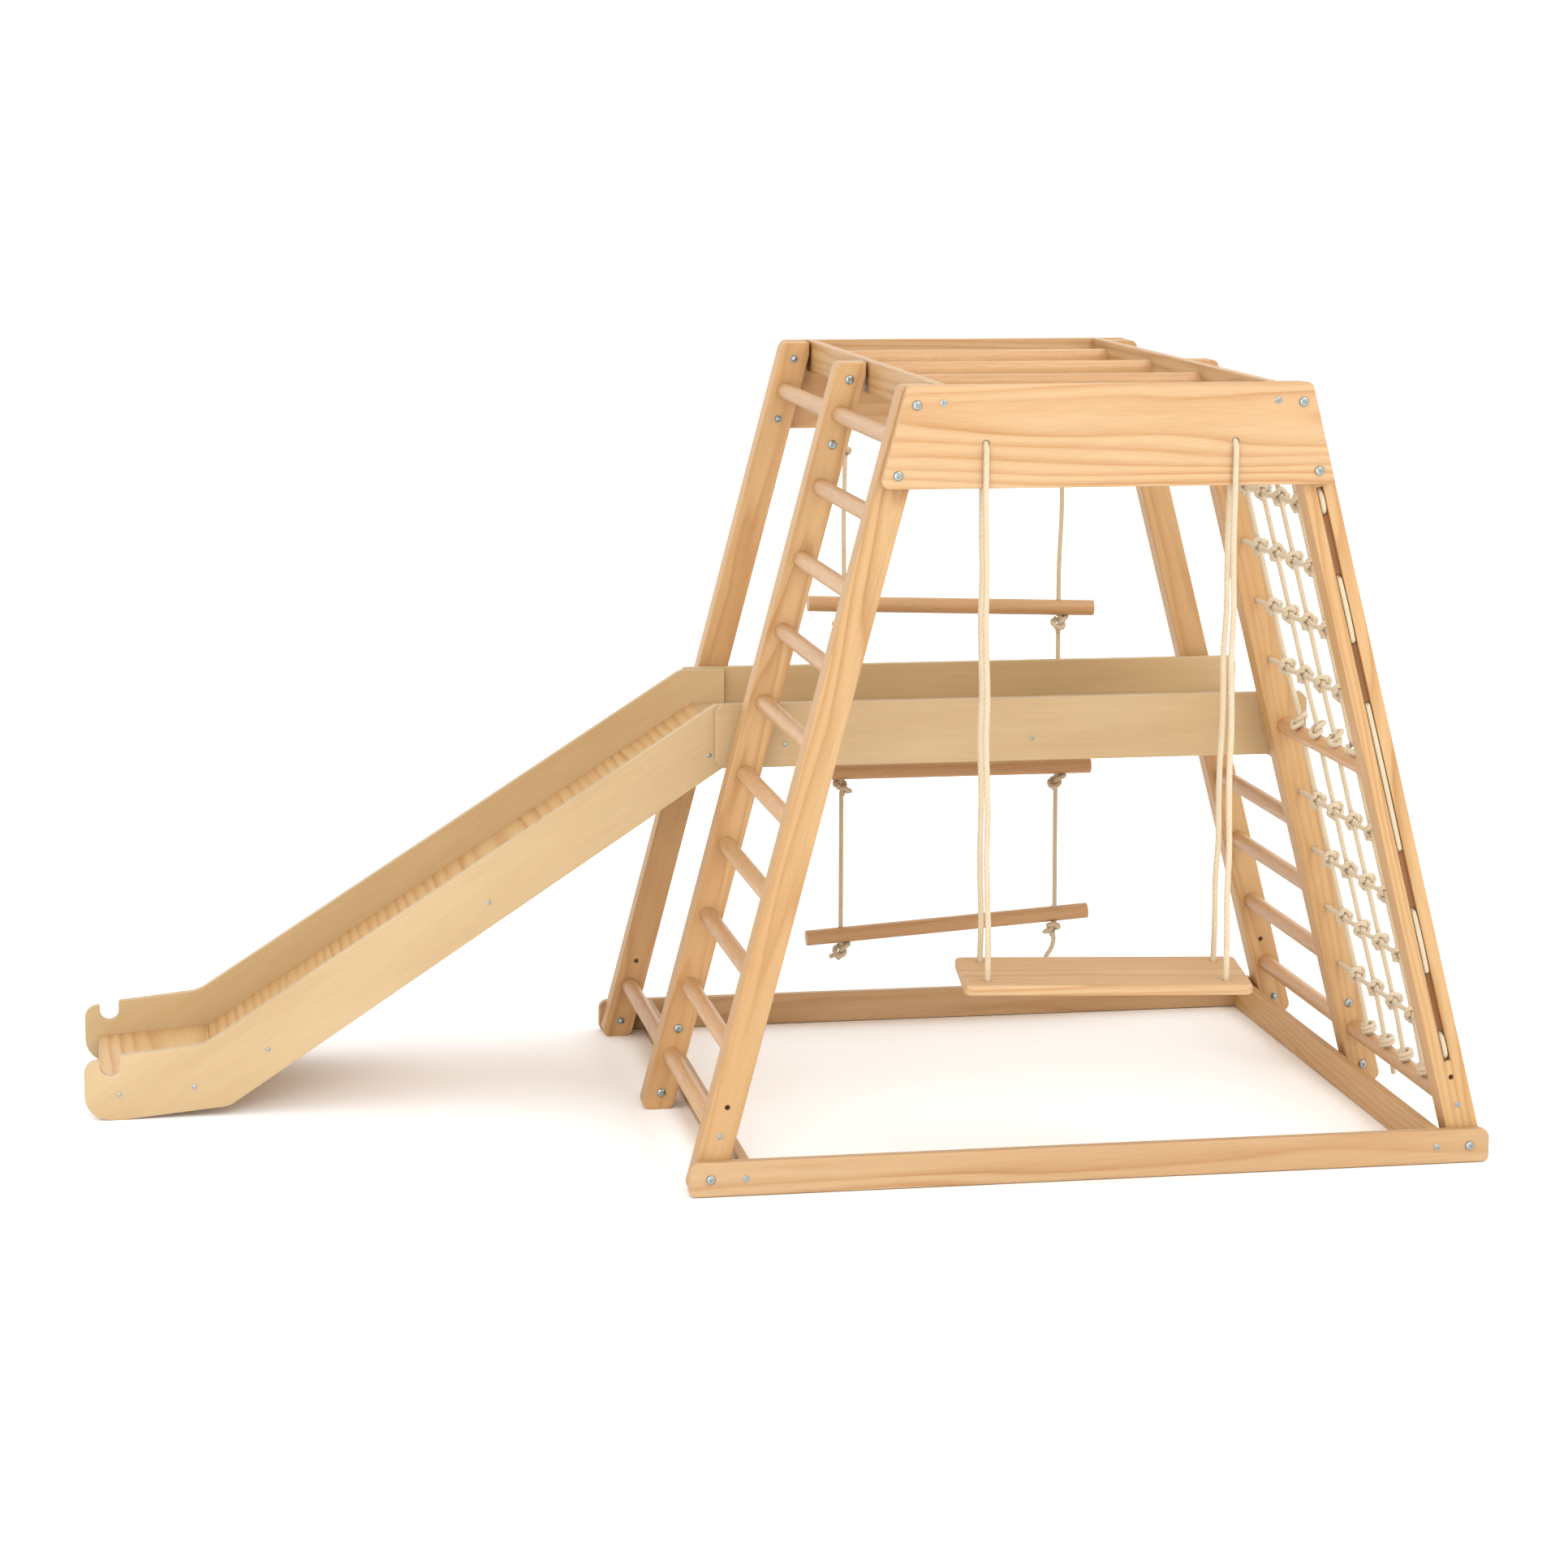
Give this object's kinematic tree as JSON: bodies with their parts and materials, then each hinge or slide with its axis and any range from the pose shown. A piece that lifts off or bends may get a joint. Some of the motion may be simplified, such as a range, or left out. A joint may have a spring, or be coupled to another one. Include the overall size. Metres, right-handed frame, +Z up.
{
  "type": "toddler climbing tower with slide",
  "caption": "Wooden indoor climbing tower with leaning rung panels, platform and slide, swing, rope ladder, rope net and monkey bars.",
  "frame": {"origin": "on the floor, in the middle of the footprint's bounding box", "axes": "+X from the foot of the slide towards the rope net, +Y from the swing side to the rope ladder side, +Z up"},
  "size_m": [2.339, 1.2967, 1.32],
  "materials": {
    "pine": "satin",
    "beech": "satin",
    "plywood": "satin",
    "rope": "matte",
    "zinc": "satin"
  },
  "bodies": {
    "frame": {"left_front_leg": "pine", "left_middle_leg": "pine", "left_back_leg": "pine", "right_front_leg": "pine", "right_middle_leg": "pine", "right_back_leg": "pine", "front_beam": "pine", "back_beam": "pine", "front_rail": "pine", "back_rail": "pine", "left_cross_rail": "pine", "right_cross_rail": "pine", "left_top_plate": "pine", "right_top_plate": "pine", "monkey_bar_1": "beech", "monkey_bar_2": "beech", "monkey_bar_3": "beech", "monkey_bar_4": "beech", "left_front_rung_1": "beech", "left_front_rung_2": "beech", "left_front_rung_3": "beech", "left_front_rung_4": "beech", "left_front_rung_5": "beech", "left_front_rung_6": "beech", "left_front_rung_7": "beech", "left_front_rung_8": "beech", "left_front_rung_9": "beech", "left_front_rung_10": "beech", "left_back_rung_1": "beech", "left_back_rung_2": "beech", "left_back_rung_3": "beech", "right_front_rung_1": "beech", "right_front_rung_2": "beech", "right_front_rung_3": "beech", "right_back_rung_1": "beech", "right_back_rung_2": "beech", "right_back_rung_3": "beech", "right_back_rung_4": "beech", "right_back_rung_5": "beech", "right_back_rung_6": "beech", "platform_front_board": "plywood", "platform_back_board": "plywood", "platform_deck": "plywood", "slide_front_side": "plywood", "slide_back_side": "plywood", "slide_bed": "pine", "slide_runout_bed": "pine", "beam_loops": "rope", "rope_net": "rope", "frame_bolts": "zinc", "frame_screws": "zinc"},
    "swing": {"swing_seat": "pine", "swing_ropes": "rope"},
    "ladder_upper": {"ladder_rung_1": "beech", "ladder_ropes_upper": "rope"},
    "ladder_middle": {"ladder_rung_2": "beech", "ladder_ropes_middle": "rope"},
    "ladder_lower": {"ladder_rung_3": "beech", "ladder_ropes_lower": "rope", "ladder_tail": "rope"}
  },
  "joints": [
    {"name": "swing_pivot", "type": "hinge", "parent": "frame", "child": "swing", "pos_m": [0.4855, -0.514, 1.154], "axis": [1, 0, 0], "range_deg": [-35, 35]},
    {"name": "ladder_top_pivot", "type": "hinge", "parent": "frame", "child": "ladder_upper", "pos_m": [0.4855, 0.629, 1.154], "axis": [1, 0, 0], "range_deg": [-4, 30]},
    {"name": "ladder_middle_pivot", "type": "hinge", "parent": "ladder_upper", "child": "ladder_middle", "pos_m": [0.4855, 0.629, 0.784], "axis": [1, 0, 0], "range_deg": [-4, 25]},
    {"name": "ladder_low_pivot", "type": "hinge", "parent": "ladder_middle", "child": "ladder_lower", "pos_m": [0.4855, 0.629, 0.466], "axis": [1, 0, 0], "range_deg": [-10, 20]}
  ]
}
